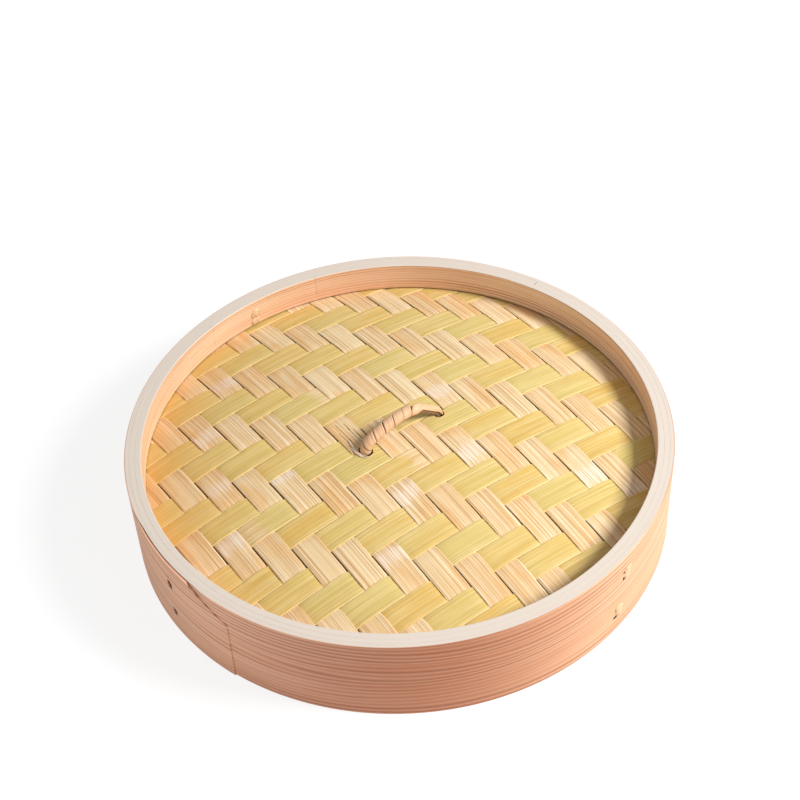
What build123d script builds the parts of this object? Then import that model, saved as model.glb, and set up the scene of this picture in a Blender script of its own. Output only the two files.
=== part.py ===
from build123d import *
import os
from math import atan2, ceil, cos, degrees, dist, exp, pi, radians, sin, sqrt, tan

os.makedirs("parts", exist_ok=True)

# Steamer lid, in millimetres: origin at the middle of the rim's lower edge, +Z up,
# +X along the smooth yellow strips of the woven panel.

# Rim, three bent plies of wood from the outside in
rim_radius = 102.5
rim_height = 37.0
outer_ply = 1.8
core_ply = 2.0
inner_ply = 2.3
glue_line = 0.1
edge_chamfer = 0.4
outer_hoop_bore = rim_radius - outer_ply
core_hoop_radius = outer_hoop_bore - glue_line
core_hoop_bore = core_hoop_radius - core_ply
inner_hoop_radius = core_hoop_bore - glue_line
inner_hoop_bore = inner_hoop_radius - inner_ply

# Socket under the lid that drops over the steamer's top edge
socket_depth = 6.0
socket_relief = 0.7

# Lapped end of the outer ply, with its upper corner cut off
lap_start_angle = 166.0
lap_end_angle = 199.5
lap_step = 0.5
lap_root = 0.4
lap_corner_drop = 8.8
lap_corner_slope = 24.8

# Seams of the bent plies
seam_gap = 0.3
core_seam_angle = 20.0
lower_seam_angle = 150.0
splice_middle_angle = 90.5
splice_span = 30.0

# Woven panel, a shallow dome of a two over two under twill
strip_count = 20
strip_pitch = 10.26
strip_width = 9.5
strip_thickness = 0.6
strip_clearance = 0.06
dome_radius = 96.0
dome_height = 10.6
dome_edge_z = 24.2
panel_trim_radius = 98.3
panel_trim_sides = 60
dome_crown_z = dome_edge_z + dome_height
level_offset = (strip_thickness + strip_clearance) / 2

# Hoops that pinch the edge of the panel
upper_hoop_bottom = 25.0
lower_hoop_top = 22.8

# Cane stitches through the rim
stitch_width = 2.2
stitch_thickness = 0.7
stitch_clearance = 0.05
upper_stitch_z = 28.6
lower_stitch_z = 10.7
open_stitch_reach = 4.8
sunk_stitch_reach = 3.6
sunk_stitch_depth = 0.5
side_stitch_angle = -76.0
lap_stitch_angle = 182.4
splice_stitch_angle = 92.5

# Handle, a cane loop that stands through the panel
handle_y = -0.8
core_diameter = 2.8
near_foot_x = -15.4
hinge_z = 35.05
near_leg_top = 0.2
near_bend_radius = 4.6
rise_angle = 30.0
back_radius = 34.5
far_bend_radius = 8.0
fall_angle = 37.0
fall_length = 9.6
far_foot_radius = 2.0
leg_depth = 1.3
under_bend_radius = 2.2
under_seam = 1.0
foot_hole_x = 3.6
foot_hole_y = 5.4

near_bend_run = near_bend_radius * (1 - sin(radians(rise_angle)))
back_run = back_radius * sin(radians(rise_angle))
far_bend_run = far_bend_radius * sin(radians(fall_angle))
fall_run = fall_length * cos(radians(fall_angle))
far_foot_run = far_foot_radius * (1 - sin(radians(fall_angle)))
far_foot_x = near_foot_x + near_bend_run + back_run + far_bend_run + fall_run + far_foot_run
near_bend_rise = near_bend_radius * cos(radians(rise_angle))
back_rise = back_radius * (1 - cos(radians(rise_angle)))
far_bend_fall = far_bend_radius * (1 - cos(radians(fall_angle)))
fall_drop = fall_length * sin(radians(fall_angle))
far_foot_drop = far_foot_radius * cos(radians(fall_angle))

# Flat cane strip wound round the handle
wrap_turns = 5.0
wrap_pitch = 4.2
wrap_first_extra = 1.8
wrap_start = 2.1
wrap_width = 3.2
wrap_start_width = 2.2
wrap_end_width = 2.0
wrap_thickness = 0.6
wrap_clearance = 0.16
wrap_sections = 14
tail_turn_length = 6.0
tail_turn_steps = 6
tail_steps = 9
tail_stop_short = 2.6


def polar(radius, angle):
    """Point at a radius and an angle in degrees, seen from above."""
    return (radius * cos(radians(angle)), radius * sin(radians(angle)))


def outward_plane(angle, height):
    """Plane through the lid's axis that faces out: local X along the rim, local Y up."""
    x, y = polar(1, angle)
    return Plane(origin=(0, 0, height), x_dir=(-y, x, 0), z_dir=(x, y, 0))


def radial_plane(angle, height):
    """Upright plane through the lid's axis: local X straight out, local Y up."""
    x, y = polar(1, angle)
    return Plane(origin=(0, 0, height), x_dir=(x, y, 0), z_dir=(y, -x, 0))


def lengthwise_plane(y, height):
    """Upright plane along the yellow strips: local X along X, local Y up."""
    return Plane(origin=(0, y, height), x_dir=(1, 0, 0), z_dir=(0, -1, 0))


def crosswise_plane(x, height):
    """Upright plane along the tan strips: local X along Y, local Y up."""
    return Plane(origin=(x, 0, height), x_dir=(0, 1, 0), z_dir=(1, 0, 0))


def cut_wedge(middle_angle, span, mode):
    """Cut away, or keep, a slice of a hoop between two upright planes through the axis."""
    reach = 2 * rim_radius
    with BuildSketch() as wedge:
        with BuildLine():
            Polyline(
                (0, 0),
                polar(reach, middle_angle - span / 2),
                polar(reach, middle_angle + span / 2),
                close=True,
            )
        make_face()
    extrude(wedge.sketch, amount=rim_height, mode=mode)


def cut_seam(angle):
    """Saw a narrow butt seam through one side of a hoop."""
    with BuildSketch(outward_plane(angle, rim_height / 2)) as seam:
        Rectangle(seam_gap, 2 * rim_height)
    extrude(seam.sketch, amount=2 * rim_radius, mode=Mode.SUBTRACT)


def cut_slits(angle, height, reach):
    """Cut the two slits, one above the other, that a stitch is laced through."""
    slit_width = stitch_width + 2 * stitch_clearance
    slit_height = stitch_thickness + 2 * stitch_clearance
    with BuildSketch(outward_plane(angle, height)) as slits:
        with Locations((0, reach / 2), (0, -reach / 2)):
            Rectangle(slit_width, slit_height)
    extrude(slits.sketch, amount=2 * rim_radius, mode=Mode.SUBTRACT)


stitch_places = [
    ("side_stitch", side_stitch_angle, open_stitch_reach),
    ("lap_stitch", lap_stitch_angle, sunk_stitch_reach),
    ("splice_stitch", splice_stitch_angle, open_stitch_reach),
]


def cut_slits_at(height):
    """Cut the slits of every stitch at one height."""
    for _, angle, reach in stitch_places:
        cut_slits(angle, height, reach)


# Outer hoop: the rim's face, a thin ply bent round and lapped over its own start.

with BuildPart() as lap_end:
    lap_middle_angle = (lap_start_angle + lap_end_angle) / 2
    with BuildSketch():
        with BuildLine():
            start = polar(rim_radius, lap_start_angle)
            crest = polar(rim_radius + lap_step, lap_end_angle)
            foot = polar(rim_radius - lap_root, lap_end_angle)
            root = polar(rim_radius - lap_root, lap_start_angle)
            ThreePointArc(start, polar(rim_radius + lap_step / 2, lap_middle_angle), crest)
            Line(crest, foot)
            ThreePointArc(foot, polar(rim_radius - lap_root, lap_middle_angle), root)
            Line(root, start)
        make_face()
    extrude(amount=rim_height)
    corner_run = lap_corner_drop / tan(radians(lap_corner_slope))
    with BuildSketch(outward_plane(lap_end_angle, rim_height)):
        with BuildLine():
            Polyline((0, 0), (0, -lap_corner_drop), (-corner_run, 0), close=True)
        make_face()
    extrude(amount=2 * rim_radius, mode=Mode.SUBTRACT)

with BuildPart() as outer_hoop:
    with BuildSketch():
        Circle(rim_radius)
        Circle(outer_hoop_bore, mode=Mode.SUBTRACT)
    extrude(amount=rim_height)
    top_edges = outer_hoop.edges().group_by(Axis.Z)[-1]
    chamfer(top_edges.sort_by(SortBy.LENGTH)[-1], length=edge_chamfer)
    add(lap_end.part)
    cut_slits_at(upper_stitch_z)
    cut_slits_at(lower_stitch_z)
    groove_floor = rim_radius - sunk_stitch_depth - stitch_thickness - stitch_clearance
    groove_width = stitch_width + 2 * stitch_clearance
    groove_height = sunk_stitch_reach + stitch_thickness + 2 * stitch_clearance
    for groove_z in (upper_stitch_z, lower_stitch_z):
        with BuildSketch(outward_plane(lap_stitch_angle, groove_z).offset(groove_floor)):
            Rectangle(groove_width, groove_height)
        extrude(amount=outer_ply, mode=Mode.SUBTRACT)
outer_hoop.part.label = "outer_hoop"
export_step(outer_hoop.part, "parts/outer_hoop.step")

# Core hoop: the middle ply, eased at its foot into a socket for the steamer's edge.

with BuildPart() as core_hoop:
    with BuildSketch():
        Circle(core_hoop_radius)
        Circle(core_hoop_bore, mode=Mode.SUBTRACT)
    extrude(amount=rim_height)
    with BuildSketch():
        Circle(core_hoop_bore + socket_relief)
    extrude(amount=socket_depth, mode=Mode.SUBTRACT)
    cut_seam(core_seam_angle)
    cut_slits_at(upper_stitch_z)
    cut_slits_at(lower_stitch_z)
core_hoop.part.label = "core_hoop"
export_step(core_hoop.part, "parts/core_hoop.step")

# Upper inner hoop: the lining above the panel, closed by a short splice of the same ply.

upper_hoop_height = rim_height - upper_hoop_bottom
seam_angle = degrees(seam_gap / inner_hoop_radius)

with BuildPart() as upper_inner_hoop:
    with BuildSketch(Plane.XY.offset(upper_hoop_bottom)):
        Circle(inner_hoop_radius)
        Circle(inner_hoop_bore, mode=Mode.SUBTRACT)
    extrude(amount=upper_hoop_height)
    top_edges = upper_inner_hoop.edges().group_by(Axis.Z)[-1]
    chamfer(top_edges.sort_by(SortBy.LENGTH)[0], length=edge_chamfer)
    cut_wedge(splice_middle_angle, splice_span + seam_angle, Mode.SUBTRACT)
    cut_slits_at(upper_stitch_z)
upper_inner_hoop.part.label = "upper_inner_hoop"
export_step(upper_inner_hoop.part, "parts/upper_inner_hoop.step")

with BuildPart() as upper_hoop_splice:
    with BuildSketch(Plane.XY.offset(upper_hoop_bottom)):
        Circle(inner_hoop_radius)
        Circle(inner_hoop_bore, mode=Mode.SUBTRACT)
    extrude(amount=upper_hoop_height)
    top_edges = upper_hoop_splice.edges().group_by(Axis.Z)[-1]
    chamfer(top_edges.sort_by(SortBy.LENGTH)[0], length=edge_chamfer)
    cut_wedge(splice_middle_angle, splice_span - seam_angle, Mode.INTERSECT)
    cut_slits_at(upper_stitch_z)
upper_hoop_splice.part.label = "upper_hoop_splice"
export_step(upper_hoop_splice.part, "parts/upper_hoop_splice.step")

# Lower inner hoop: pinches the panel from below and leaves the socket open under it.

with BuildPart() as lower_inner_hoop:
    with BuildSketch(Plane.XY.offset(socket_depth)):
        Circle(inner_hoop_radius)
        Circle(inner_hoop_bore, mode=Mode.SUBTRACT)
    extrude(amount=lower_hoop_top - socket_depth)
    cut_seam(lower_seam_angle)
    cut_slits_at(lower_stitch_z)
lower_inner_hoop.part.label = "lower_inner_hoop"
export_step(lower_inner_hoop.part, "parts/lower_inner_hoop.step")

# Stitches: flat cane laced through two slits and closed on itself inside and outside.
# The pair at the outer lap is drawn down into a groove.

for stitch_name, stitch_angle, stitch_reach in stitch_places:
    sunk = sunk_stitch_depth if stitch_name == "lap_stitch" else -stitch_thickness - stitch_clearance
    outer_face = rim_radius - sunk
    inner_face = inner_hoop_bore - stitch_thickness - stitch_clearance
    for level, stitch_z in (("upper", upper_stitch_z), ("lower", lower_stitch_z)):
        with BuildPart() as stitch:
            with BuildSketch(radial_plane(stitch_angle, stitch_z)):
                with Locations(((outer_face + inner_face) / 2, 0)):
                    Rectangle(outer_face - inner_face, stitch_reach + stitch_thickness)
                    window = outer_face - inner_face - 2 * stitch_thickness
                    Rectangle(window, stitch_reach - stitch_thickness, mode=Mode.SUBTRACT)
            extrude(amount=stitch_width / 2, both=True)
            along_rim = Axis((0, 0, 0), outward_plane(stitch_angle, stitch_z).x_dir)
            levels = stitch.edges().filter_by(along_rim).group_by(Axis.Z)
            chamfer(levels[0] + levels[-1], length=stitch_thickness / 2)
        stitch.part.label = f"{stitch_name}_{level}"
        export_step(stitch.part, f"parts/{stitch_name}_{level}.step")

# Woven panel: yellow strips run along X and tan strips along Y. The dome falls away with
# the square of the distance along each, so every strip is one profile drawn sideways.


def strip_middle(index):
    """Middle line of a strip, measured from the middle of the panel."""
    return (index - (strip_count - 1) / 2) * strip_pitch


def dome_fall(distance):
    """Height lost by the dome at a distance along one direction of the weave."""
    return -dome_height * (distance / dome_radius) ** 2


def tan_is_over(tan_index, yellow_index):
    """Twill order: each strip passes over two and under two, one step on at every strip."""
    return (yellow_index - tan_index) % 4 < 2


def strip_profile(crossings, half_length):
    """Draw the side of a strip: flat where it crosses another, stepped in the gaps between.

    crossings lists the middle of each strip crossed and whether this one lies over it.
    """
    upper = []
    lower = []
    for middle, lies_over in crossings:
        if abs(middle) - strip_pitch > half_length:
            continue
        level = level_offset if lies_over else -level_offset
        for edge in (middle - strip_width / 2, middle + strip_width / 2):
            height = dome_crown_z + dome_fall(edge) + level
            upper.append((edge, height + strip_thickness / 2))
            lower.append((edge, height - strip_thickness / 2))
    with BuildLine() as side:
        Polyline(*upper, *reversed(lower), close=True)
    make_face(side.edges())


def trim_strip():
    """Trim a strip to the rim and open it where the legs of the handle pass."""
    with BuildSketch() as outline:
        RegularPolygon(panel_trim_radius, panel_trim_sides)
    extrude(outline.sketch, amount=rim_height, mode=Mode.INTERSECT)
    with BuildSketch() as foot_holes:
        with Locations((near_foot_x, handle_y), (far_foot_x, handle_y)):
            Rectangle(foot_hole_x, foot_hole_y)
    extrude(foot_holes.sketch, amount=rim_height, mode=Mode.SUBTRACT)


def half_chord(near_edge):
    """Half the length of a strip whose edge nearest the middle lies this far out."""
    return sqrt(panel_trim_radius**2 - max(near_edge, 0) ** 2)


for number in range(strip_count):
    middle = strip_middle(number)
    low_edge = middle - strip_width / 2
    high_edge = middle + strip_width / 2
    sideways_fall = dome_fall(high_edge) - dome_fall(low_edge)
    slant_width = sqrt(strip_width**2 + sideways_fall**2)
    half_length = half_chord(abs(middle) - strip_width / 2)

    with BuildPart() as yellow_strip:
        yellow_index = strip_count - 1 - number
        crossings = [
            (strip_middle(i), not tan_is_over(i, yellow_index)) for i in range(strip_count)
        ]
        with BuildSketch(lengthwise_plane(low_edge, dome_fall(low_edge))):
            strip_profile(crossings, half_length)
        extrude(amount=slant_width, dir=(0, strip_width, sideways_fall))
        trim_strip()
    yellow_strip.part.label = f"yellow_strip_{number + 1:02d}"
    export_step(yellow_strip.part, f"parts/yellow_strip_{number + 1:02d}.step")

    with BuildPart() as tan_strip:
        crossings = [
            (strip_middle(j), tan_is_over(number, strip_count - 1 - j)) for j in range(strip_count)
        ]
        with BuildSketch(crosswise_plane(low_edge, dome_fall(low_edge))):
            strip_profile(crossings, half_length)
        extrude(amount=slant_width, dir=(strip_width, 0, sideways_fall))
        trim_strip()
    tan_strip.part.label = f"tan_strip_{number + 1:02d}"
    export_step(tan_strip.part, f"parts/tan_strip_{number + 1:02d}.step")

# Handle core: a round cane bent into an arch, with both legs through the panel and the
# two ends meeting under it. It leans about the line through its feet.

handle_plane = lengthwise_plane(handle_y, hinge_z)
near_leg = (near_foot_x, near_leg_top)
shoulder = (near_leg[0] + near_bend_run, near_leg[1] + near_bend_rise)
crown = (shoulder[0] + back_run, shoulder[1] + back_rise)
far_shoulder = (crown[0] + far_bend_run, crown[1] - far_bend_fall)
fall_end = (far_shoulder[0] + fall_run, far_shoulder[1] - fall_drop)
far_leg = (far_foot_x, fall_end[1] - far_foot_drop)
rising = (cos(radians(rise_angle)), sin(radians(rise_angle)))
falling = (cos(radians(fall_angle)), -sin(radians(fall_angle)))

with BuildLine(handle_plane) as arch:
    JernArc(near_leg, (0, 1), near_bend_radius, rise_angle - 90)
    JernArc(shoulder, rising, back_radius, -rise_angle)
    JernArc(crown, (1, 0), far_bend_radius, -fall_angle)
    Line(far_shoulder, fall_end)
    JernArc(fall_end, falling, far_foot_radius, fall_angle - 90)
arch_wire = arch.wire()

run_height = -leg_depth - under_bend_radius
meeting_x = (near_foot_x + far_foot_x) / 2
near_end = (meeting_x - under_seam / 2, run_height)
far_end = (meeting_x + under_seam / 2, run_height)
near_turn = (near_foot_x + under_bend_radius, run_height)
far_turn = (far_foot_x - under_bend_radius, run_height)

with BuildPart() as handle_core:
    with BuildLine(handle_plane) as loop:
        Line(near_end, near_turn)
        JernArc(near_turn, (-1, 0), under_bend_radius, -90)
        Line((near_foot_x, -leg_depth), near_leg)
        JernArc(near_leg, (0, 1), near_bend_radius, rise_angle - 90)
        JernArc(shoulder, rising, back_radius, -rise_angle)
        JernArc(crown, (1, 0), far_bend_radius, -fall_angle)
        Line(far_shoulder, fall_end)
        JernArc(fall_end, falling, far_foot_radius, fall_angle - 90)
        Line(far_leg, (far_foot_x, -leg_depth))
        JernArc((far_foot_x, -leg_depth), (0, -1), under_bend_radius, -90)
        Line(far_turn, far_end)
    near_end_point = handle_plane.from_local_coords(Vector(*near_end))
    with BuildSketch(Plane(origin=near_end_point, x_dir=(0, 1, 0), z_dir=(-1, 0, 0))):
        Circle(core_diameter / 2)
    sweep(path=loop.wire())
handle_core.part.label = "handle_core"
export_step(handle_core.part, "parts/handle_core.step")

# Handle wrap: one flat strip wound round the arch from the near foot. Past the crown it
# turns along the handle, and its narrowed tail runs down the back to the far foot.

wrap_radius = core_diameter / 2 + wrap_clearance + wrap_thickness / 2


def wound_distance(turns):
    """Distance along the arch after a number of turns; the first turn is drawn out."""
    return wrap_start + wrap_pitch * turns + wrap_first_extra * (1 - exp(-turns))


heading = atan2(2 * pi * wrap_radius, wrap_pitch)
tail_turn_radius = tail_turn_length / heading
tail_turn_angle = tail_turn_radius * (1 - cos(heading)) / wrap_radius
first_angle = -2 * pi * wrap_turns - tail_turn_angle

# Each step of the course is a distance along the arch, an angle from its back, and a width.
course = []
for step in range(ceil(wrap_turns * wrap_sections) + 1):
    turns = step / wrap_sections
    width = wrap_start_width + (wrap_width - wrap_start_width) * min(turns, 1)
    course.append((wound_distance(turns), first_angle + 2 * pi * turns, width))
for step in range(1, tail_turn_steps + 1):
    left = heading * (1 - step / tail_turn_steps)
    along = wound_distance(wrap_turns) + tail_turn_radius * (sin(heading) - sin(left))
    course.append((along, -tail_turn_radius * (1 - cos(left)) / wrap_radius, wrap_width))
tail_from = course[-1][0]
tail_length = arch_wire.length - tail_stop_short - tail_from
for step in range(1, tail_steps + 1):
    share = step / tail_steps
    width = wrap_width + (wrap_end_width - wrap_width) * share**2
    course.append((tail_from + tail_length * share, 0, width))


def arch_frame(distance):
    """Point on the arch's middle line, its direction there, and the way out of its back."""
    share = distance / arch_wire.length
    forward = arch_wire.tangent_at(share)
    return arch_wire.position_at(share), forward, forward.cross(Vector(0, 1, 0))


def wrap_point(distance, angle):
    """Middle of the strip at a place on the core, and the direction straight out there."""
    centre, forward, back = arch_frame(distance)
    outward = back * cos(angle) + Vector(0, 1, 0) * sin(angle)
    return centre + outward * wrap_radius, outward


places = [wrap_point(distance, angle) for distance, angle, _ in course]
sections = []
for index, (point, outward) in enumerate(places):
    ahead = places[min(index + 1, len(places) - 1)][0]
    behind = places[max(index - 1, 0)][0]
    forward = ahead - behind
    forward = (forward - outward * forward.dot(outward)).normalized()
    sections.append((point, outward.cross(forward), forward, outward))

with BuildPart() as handle_wrap:
    for (point, across, forward, _), (_, _, width) in zip(sections, course):
        with BuildSketch(Plane(origin=point, x_dir=across, z_dir=forward)):
            Rectangle(width, wrap_thickness)
    loft(ruled=True)
handle_wrap.part.label = "handle_wrap"
export_step(handle_wrap.part, "parts/handle_wrap.step")

# Least gap between one turn of the wrap and the next, on points along both edges.
edge_points = []
for index, (point, across, _, outward) in enumerate(sections):
    for side in (-1, 1):
        for face in (-1, 1):
            corner = point + across * (side * course[index][2] / 2)
            corner = corner + outward * (face * wrap_thickness / 2)
            edge_points.append((index, (corner.X, corner.Y, corner.Z)))
half_turn = wrap_sections // 2
least_gap = min(
    dist(here, there)
    for index, here in edge_points
    for other, there in edge_points
    if other - index > half_turn
)
print(f"least gap between turns of the handle wrap: {least_gap:.2f} mm")
print(f"handle core volume: {handle_core.part.volume:.1f} mm3")
print(f"section times length: {pi * core_diameter**2 / 4 * loop.wire().length:.1f} mm3")
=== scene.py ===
import math

import bmesh
import bpy
import numpy as np
from mathutils import Matrix, Vector


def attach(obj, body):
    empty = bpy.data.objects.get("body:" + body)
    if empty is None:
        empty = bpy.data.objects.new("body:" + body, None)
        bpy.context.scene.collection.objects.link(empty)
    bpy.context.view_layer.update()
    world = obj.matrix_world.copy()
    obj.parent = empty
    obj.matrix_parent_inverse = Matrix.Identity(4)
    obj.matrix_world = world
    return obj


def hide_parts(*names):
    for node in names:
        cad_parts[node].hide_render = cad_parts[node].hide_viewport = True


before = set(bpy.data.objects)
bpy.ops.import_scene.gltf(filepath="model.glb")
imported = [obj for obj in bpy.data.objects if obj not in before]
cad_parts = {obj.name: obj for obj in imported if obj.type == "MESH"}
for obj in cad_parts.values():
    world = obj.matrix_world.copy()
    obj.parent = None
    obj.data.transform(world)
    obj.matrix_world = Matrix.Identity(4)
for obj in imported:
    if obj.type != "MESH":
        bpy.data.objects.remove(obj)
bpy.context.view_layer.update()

# Core hoop. The middle ply of the rim: a thin board of pale softwood bent into a ring, butted
# at one seam and eased at its foot. Only its sanded upper edge and its foot are ever seen.

mm = 0.001
rim_height = 37.0
core_outside = 100.64
core_inside = 98.6
socket_inside = 99.3
socket_depth = 6.0
core_levels = (6.3, 15, 25, 33)
core_seam_angle = 20.0
seam_gap = 0.3
joint_ease = 0.03
ease_bend = 0.3
face_margin = 0.1
foot_reach = 0.5
arris_drop = 0.03
ring_step = 1.5


def tone(red, green, blue):
    """A colour as it looks on paper, 0 to 255, as the light values that a shader takes."""
    parts = [c / 255 for c in (red, green, blue)]
    return [c / 12.92 if c <= 0.04045 else ((c + 0.055) / 1.055) ** 2.4 for c in parts] + [1.0]


def add(tree, kind, inputs=None, **settings):
    """Put a node into a material, with each input set or wired, and give its outputs."""
    node = tree.nodes.new("ShaderNode" + kind)
    for name, value in settings.items():
        setattr(node, name, value)
    for name, value in (inputs or {}).items():
        if isinstance(value, bpy.types.NodeSocket):
            tree.links.new(value, node.inputs[name])
        else:
            node.inputs[name].default_value = value
    return node.outputs


def mix(tree, share, first, second):
    """Blend two colours by a share from 0 to 1."""
    return add(tree, "Mix", {0: share, 6: first, 7: second}, data_type="RGBA")[2]


def sum_of(tree, first, second, operation="ADD"):
    """Add, or otherwise work out, two numbers."""
    return add(tree, "Math", {0: first, 1: second}, operation=operation)[0]


def fade(tree, value, low, high):
    """Rise softly from 0 to 1 as the value goes from low to high."""
    inputs = {"Value": value, "From Min": low, "From Max": high}
    return add(tree, "MapRange", inputs, interpolation_type="SMOOTHSTEP")[0]


def grain(tree, vector, detail=3.0, roughness=0.55):
    """Cloudy streaks from 0 to 1, drawn out by the way the vector is stretched."""
    inputs = {"Vector": vector, "Scale": 1.0, "Detail": detail, "Roughness": roughness}
    return add(tree, "TexNoise", inputs)[0]


def rim_place(tree, round_scale, level_scale, shift):
    """Coordinates that run slowly round the rim and fast across its faces and edges."""
    place = add(tree, "TexCoord")["Object"]
    flat = add(tree, "VectorMath", {0: place, 1: (1, 1, 0)}, operation="MULTIPLY")[0]
    radius = add(tree, "VectorMath", {0: flat}, operation="LENGTH")["Value"]
    split = add(tree, "SeparateXYZ", {0: place})
    level = sum_of(tree, split[2], radius)
    level = add(tree, "Math", {0: level, 1: level_scale, 2: shift}, operation="MULTIPLY_ADD")[0]
    east = sum_of(tree, split[0], round_scale, "MULTIPLY")
    north = sum_of(tree, split[1], round_scale, "MULTIPLY")
    return add(tree, "CombineXYZ", {0: east, 1: north, 2: level})[0]


def bent_wood(
    name,
    pale,
    deep,
    line,
    edge,
    shift,
    line_share,
    line_scale,
    shaded_hole_radius=None,
    board_tints_and_painted_light=(),
    bare=None,
):
    """Straight-grained softwood ply with its growth lines running round the hoop. The holes behind
    its face are painted dark, as painted shade, and stretches round the hoop may be darker or
    paler than the rest: some as the board's own tone, some as painted light and shade.
    Its upper edge is sanded pale, but for the strip beyond the radius where it is left bare."""
    material = bpy.data.materials.new(name)
    material.use_nodes = True
    tree = material.node_tree
    skin = tree.nodes["Principled BSDF"]
    place = add(tree, "TexCoord")["Object"]
    height = add(tree, "SeparateXYZ", {0: place})[2]
    broad = fade(tree, grain(tree, rim_place(tree, 9, 160, shift)), 0.36, 0.64)
    face = mix(tree, broad, tone(*pale), tone(*deep))
    # Each stretch tints one side of the hoop; the lining's stretches are painted light and shade
    for way, share, colour in board_tints_and_painted_light:
        toward = add(tree, "VectorMath", {0: place, 1: way}, operation="DOT_PRODUCT")["Value"]
        stretch = sum_of(tree, fade(tree, toward, 0.07, 0.104), share, "MULTIPLY")
        face = mix(tree, stretch, face, tone(*colour))
    flow = add(tree, "SeparateXYZ", {0: rim_place(tree, 0, line_scale, shift)})[2]
    bent = sum_of(tree, grain(tree, rim_place(tree, 7, 110, shift + 7), 1.0), 3.2, "MULTIPLY")
    rings = sum_of(tree, sum_of(tree, flow, bent), 0.5, "PINGPONG")
    heavy = fade(tree, grain(tree, rim_place(tree, 5, 290, shift + 5), 1.0), 0.38, 0.62)
    faint, full = 0.22 * line_share, 1.05 * line_share
    strength = add(tree, "MapRange", {"Value": heavy, "To Min": faint, "To Max": full})[0]
    streaks = sum_of(tree, fade(tree, rings, 0.16, 0.0), 0.4 * line_share, "MULTIPLY")
    face = mix(tree, streaks, face, tone(*[min(c + 12, 250) for c in pale]))
    lines = sum_of(tree, fade(tree, rings, 0.18, 0.44), strength, "MULTIPLY")
    face = mix(tree, lines, face, tone(*line))
    pores = grain(tree, rim_place(tree, 70, 4600, shift + 3), 2.0)
    speckle = sum_of(tree, fade(tree, pores, 0.48, 0.7), 0.3 * line_share, "MULTIPLY")
    face = mix(tree, speckle, face, tone(*line))
    flat = add(tree, "VectorMath", {0: place, 1: (1, 1, 0)}, operation="MULTIPLY")[0]
    radius = add(tree, "VectorMath", {0: flat}, operation="LENGTH")["Value"]
    # Painted shade: the floors of the holes are painted dark brown
    if shaded_hole_radius:
        upper = add(tree, "Math", {0: height, 1: 0.0275, 2: 0.005}, operation="COMPARE")[0]
        lower = add(tree, "Math", {0: height, 1: 0.0107, 2: 0.0045}, operation="COMPARE")[0]
        sunk = fade(tree, radius, *shaded_hole_radius)
        painted_hole_shade = sum_of(tree, sunk, sum_of(tree, upper, lower), "MULTIPLY")
        face = mix(tree, painted_hole_shade, face, tone(48, 26, 18))
    rough_height = add(tree, "Math", {0: pores, 1: 0.0003, 2: height}, operation="MULTIPLY_ADD")[0]
    on_top = fade(tree, rough_height, 0.03668, 0.03702)
    if bare:
        on_top = sum_of(tree, on_top, fade(tree, radius, bare, bare - 0.0003), "MULTIPLY")
    ring = fade(tree, grain(tree, rim_place(tree, 60, 5200, shift + 11), 3.0), 0.45, 0.75)
    top = mix(tree, sum_of(tree, ring, 0.1, "MULTIPLY"), tone(*edge), tone(*line))
    tree.links.new(mix(tree, on_top, face, top), skin.inputs["Base Color"])
    skin.inputs["Roughness"].default_value = 0.6
    skin.inputs["Specular IOR Level"].default_value = 0.3
    relief = sum_of(tree, lines, sum_of(tree, pores, 0.4, "MULTIPLY"))
    relief = sum_of(tree, relief, sum_of(tree, 1.0, on_top, "SUBTRACT"), "MULTIPLY")
    bump = add(tree, "Bump", {"Height": relief, "Strength": 0.25, "Distance": 0.00012})[0]
    tree.links.new(bump, skin.inputs["Normal"])
    return material


def make_piece(name, points, faces, material, body, node):
    """Make one piece from points in millimetres and let it stand for its CAD node."""
    mesh = bpy.data.meshes.new(name)
    mesh.from_pydata((np.asarray(points, float) * mm).tolist(), [], faces)
    mesh.validate()
    work = bmesh.new()
    work.from_mesh(mesh)
    bmesh.ops.recalc_face_normals(work, faces=work.faces)
    work.to_mesh(mesh)
    work.free()
    mesh.polygons.foreach_set("use_smooth", [True] * len(mesh.polygons))
    mesh.set_sharp_from_angle(angle=math.radians(38))
    mesh.materials.append(material)
    piece = bpy.data.objects.new(name, mesh)
    bpy.context.scene.collection.objects.link(piece)
    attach(piece, body)
    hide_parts(node)
    return piece


def ring_angles(start, end, marks=()):
    """Angles round a hoop in steps of about a degree and a half, with the marks among them."""
    count = max(2, round((end - start) / ring_step))
    angles = np.concatenate([np.linspace(start, end, count + 1), marks])
    return np.unique(np.round(angles, 4))


def ply_section(outside, inside, low, high, levels, outer_ease=joint_ease, inner_ease=joint_ease):
    """Outline of a ply cut across, with eased corners: up the outer face and down the inner.
    A point stands just past each corner, so that the faces stay flat."""
    out, out_bend = outer_ease, ease_bend * outer_ease
    inn, inn_bend = inner_ease, ease_bend * inner_ease
    rising = [low + out + face_margin, *sorted(levels), high - out - face_margin]
    falling = [high - inn - face_margin, *sorted(levels, reverse=True), low + inn + face_margin]
    up = [(outside - out, low), (outside - out_bend, low + out_bend), (outside, low + out)]
    up += [(outside, z) for z in rising]
    up += [(outside, high - out), (outside - out_bend, high - out_bend), (outside - out, high)]
    down = [(outside - out - face_margin, high), (inside + inn + face_margin, high)]
    down += [(inside + inn, high), (inside + inn_bend, high - inn_bend), (inside, high - inn)]
    down += [(inside, z) for z in falling]
    down += [(inside, low + inn), (inside + inn_bend, low + inn_bend), (inside + inn, low)]
    return up + down


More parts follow.
